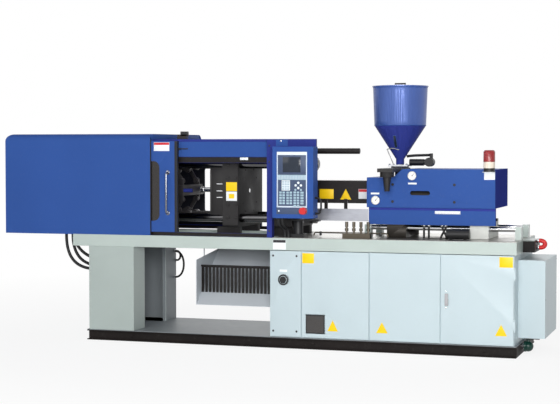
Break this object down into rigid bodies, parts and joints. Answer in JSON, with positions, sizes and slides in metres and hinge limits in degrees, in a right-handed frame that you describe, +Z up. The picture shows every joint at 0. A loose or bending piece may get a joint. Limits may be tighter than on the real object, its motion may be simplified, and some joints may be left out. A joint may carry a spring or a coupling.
{
  "type": "injection moulding machine",
  "caption": "Horizontal hydraulic injection moulding machine with a toggle clamp, sliding guard doors, a drop chute, a sliding injection carriage and a conical hopper.",
  "frame": {"origin": "On the floor, on the machine's centre line, below the mould face of the fixed platen.", "axes": "+X from the clamp to the injection unit, -Y the operator's side, +Z up."},
  "size_m": [4.6325, 1.349, 2.1683],
  "materials": {
    "blue_paint": "satin enamel",
    "dark_blue_paint": "satin enamel",
    "grey_paint": "satin enamel",
    "panel_paint": "satin enamel",
    "black_paint": "semi-matt enamel",
    "bare_steel": "ground",
    "bright_steel": "polished",
    "cast_metal": "machined casting",
    "brass_metal": "plain",
    "polished_sheet": "polished sheet",
    "black_plastic": "moulded",
    "keypad": "printed membrane",
    "green_plastic": "moulded",
    "red_plastic": "moulded",
    "red_lens": "clear moulding",
    "lamp_body": "moulded",
    "hose_rubber": "plain",
    "window_pane": "smoked sheet",
    "gauge_case": "polished"
  },
  "bodies": {
    "bed": {"base_frame": "black_paint", "floor_plate": "grey_paint", "clamp_legs": "grey_paint", "bed_frame": "grey_paint", "bed_deck": "grey_paint", "chute": "grey_paint", "cabinet_shell": "panel_paint", "cover_panels": "panel_paint", "pump_motor": "dark_blue_paint", "electrics_plate": "bare_steel", "end_cabinet": "panel_paint", "end_box": "black_paint", "clamp_casing": "blue_paint", "guard_frame": "blue_paint", "control_box": "blue_paint", "control_panel": "keypad", "grease_pump": "black_plastic", "stationary_platen": "dark_blue_paint", "tie_bars": "bright_steel", "water_manifold": "brass_metal", "carriage_rails": "bright_steel", "drain_valve": "green_plastic", "hoses": "hose_rubber"},
    "tail": {"tail_platen": "dark_blue_paint", "clamp_cylinder": "dark_blue_paint"},
    "moving": {"moving_platen": "cast_metal", "ejector_cylinder": "blue_paint", "safety_bar": "black_paint"},
    "ejector": {"ejector_rod": "bright_steel"},
    "rear_link_upper": {"rear_link_upper": "bare_steel"},
    "rear_link_lower": {"rear_link_lower": "bare_steel"},
    "front_link_upper": {"front_link_upper": "bare_steel"},
    "front_link_lower": {"front_link_lower": "bare_steel"},
    "crosshead": {"crosshead": "bare_steel"},
    "crosshead_link_upper": {"crosshead_link_upper": "bare_steel"},
    "crosshead_link_lower": {"crosshead_link_lower": "bare_steel"},
    "front_door": {"front_door": "blue_paint", "door_window": "window_pane", "door_handle": "bright_steel"},
    "rear_door": {"rear_door": "dark_blue_paint"},
    "cabinet_door": {"cabinet_door": "panel_paint"},
    "door_latch": {"door_latch": "bright_steel"},
    "emergency_stop": {"emergency_stop": "red_plastic"},
    "chute_gate": {"chute_gate": "black_paint"},
    "drain_lever": {"drain_lever": "black_plastic"},
    "carriage": {"carriage": "cast_metal", "barrel": "bare_steel", "barrel_guard": "black_paint", "drip_tray": "polished_sheet", "upper_cover": "blue_paint", "lower_cover": "blue_paint", "alarm_lamp": "lamp_body", "lamp_lens": "red_lens", "gauges": "gauge_case", "feed_slide": "cast_metal"},
    "screw_drive": {"screw_drive": "cast_metal"},
    "screw": {"screw": "bright_steel"},
    "hopper": {"hopper": "blue_paint", "hopper_lid": "blue_paint", "air_duct": "black_plastic"}
  },
  "joints": [
    {"name": "tail_slide", "type": "slide", "parent": "bed", "child": "tail", "axis": [1, 0, 0], "range_m": [-0.076, 0.15]},
    {"name": "platen_slide", "type": "slide", "parent": "tail", "child": "moving", "axis": [1, 0, 0], "range_m": [-0.28204, 0]},
    {"name": "ejector_slide", "type": "slide", "parent": "moving", "child": "ejector", "axis": [1, 0, 0], "range_m": [0, 0.07]},
    {"name": "rear_link_upper_turn", "type": "hinge", "parent": "tail", "child": "rear_link_upper", "pos_m": [-1, 0, 1.48], "axis": [0, 1, 0], "range_deg": [0, 115.1]},
    {"name": "rear_link_lower_turn", "type": "hinge", "parent": "tail", "child": "rear_link_lower", "pos_m": [-1, 0, 1.06], "axis": [0, 1, 0], "range_deg": [-115.1, 0]},
    {"name": "front_link_upper_turn", "type": "hinge", "parent": "moving", "child": "front_link_upper", "pos_m": [-0.575, 0, 1.48], "axis": [0, 1, 0], "range_deg": [-35.2, 0]},
    {"name": "front_link_lower_turn", "type": "hinge", "parent": "moving", "child": "front_link_lower", "pos_m": [-0.575, 0, 1.06], "axis": [0, 1, 0], "range_deg": [0, 35.2]},
    {"name": "crosshead_slide", "type": "slide", "parent": "tail", "child": "crosshead", "axis": [1, 0, 0], "range_m": [-0.2925, 0]},
    {"name": "crosshead_link_upper_turn", "type": "hinge", "parent": "crosshead", "child": "crosshead_link_upper", "pos_m": [-0.85957, 0, 1.35], "axis": [0, 1, 0], "range_deg": [0, 80.2]},
    {"name": "crosshead_link_lower_turn", "type": "hinge", "parent": "crosshead", "child": "crosshead_link_lower", "pos_m": [-0.85957, 0, 1.19], "axis": [0, 1, 0], "range_deg": [-80.2, 0]},
    {"name": "front_door_slide", "type": "slide", "parent": "bed", "child": "front_door", "axis": [1, 0, 0], "range_m": [0, 0.79]},
    {"name": "rear_door_slide", "type": "slide", "parent": "bed", "child": "rear_door", "axis": [1, 0, 0], "range_m": [-0.4, 0.42]},
    {"name": "cabinet_door_hinge", "type": "hinge", "parent": "bed", "child": "cabinet_door", "pos_m": [2.041, -0.488, 0.445], "axis": [0, 0, 1], "range_deg": [0, 110]},
    {"name": "door_latch_turn", "type": "hinge", "parent": "cabinet_door", "child": "door_latch", "pos_m": [1.498, -0.5, 0.441], "axis": [0, 1, 0], "range_deg": [0, 90]},
    {"name": "emergency_stop_press", "type": "slide", "parent": "bed", "child": "emergency_stop", "axis": [0, 1, 0], "range_m": [0, 0.006], "stiffness_N_per_m": 600},
    {"name": "chute_gate_swing", "type": "hinge", "parent": "bed", "child": "chute_gate", "pos_m": [-0.3, -0.29, 0.64], "axis": [-1, 0, 0], "range_deg": [0, 60]},
    {"name": "drain_lever_turn", "type": "hinge", "parent": "bed", "child": "drain_lever", "pos_m": [2.105, -0.2, 0.12], "axis": [0, 0, 1], "range_deg": [0, 90]},
    {"name": "carriage_slide", "type": "slide", "parent": "bed", "child": "carriage", "axis": [1, 0, 0], "range_m": [-0.06, 0.19]},
    {"name": "injection_slide", "type": "slide", "parent": "carriage", "child": "screw_drive", "axis": [1, 0, 0], "range_m": [0, 0.16]},
    {"name": "screw_spin", "type": "hinge", "parent": "screw_drive", "child": "screw", "pos_m": [1.3, 0, 1.27], "axis": [1, 0, 0], "continuous": true},
    {"name": "hopper_slide", "type": "slide", "parent": "carriage", "child": "hopper", "axis": [0, -1, 0], "range_m": [0, 0.45]}
  ],
  "couplings": [
    {"joint": "rear_link_upper_turn", "follows": "platen_slide", "rad_per_m": -7.1165},
    {"joint": "rear_link_lower_turn", "follows": "platen_slide", "rad_per_m": 7.1165},
    {"joint": "front_link_upper_turn", "follows": "platen_slide", "rad_per_m": 2.1727},
    {"joint": "front_link_lower_turn", "follows": "platen_slide", "rad_per_m": -2.1727},
    {"joint": "crosshead_slide", "follows": "platen_slide", "ratio": 1.0368},
    {"joint": "crosshead_link_upper_turn", "follows": "platen_slide", "rad_per_m": -4.9583},
    {"joint": "crosshead_link_lower_turn", "follows": "platen_slide", "rad_per_m": 4.9583}
  ]
}
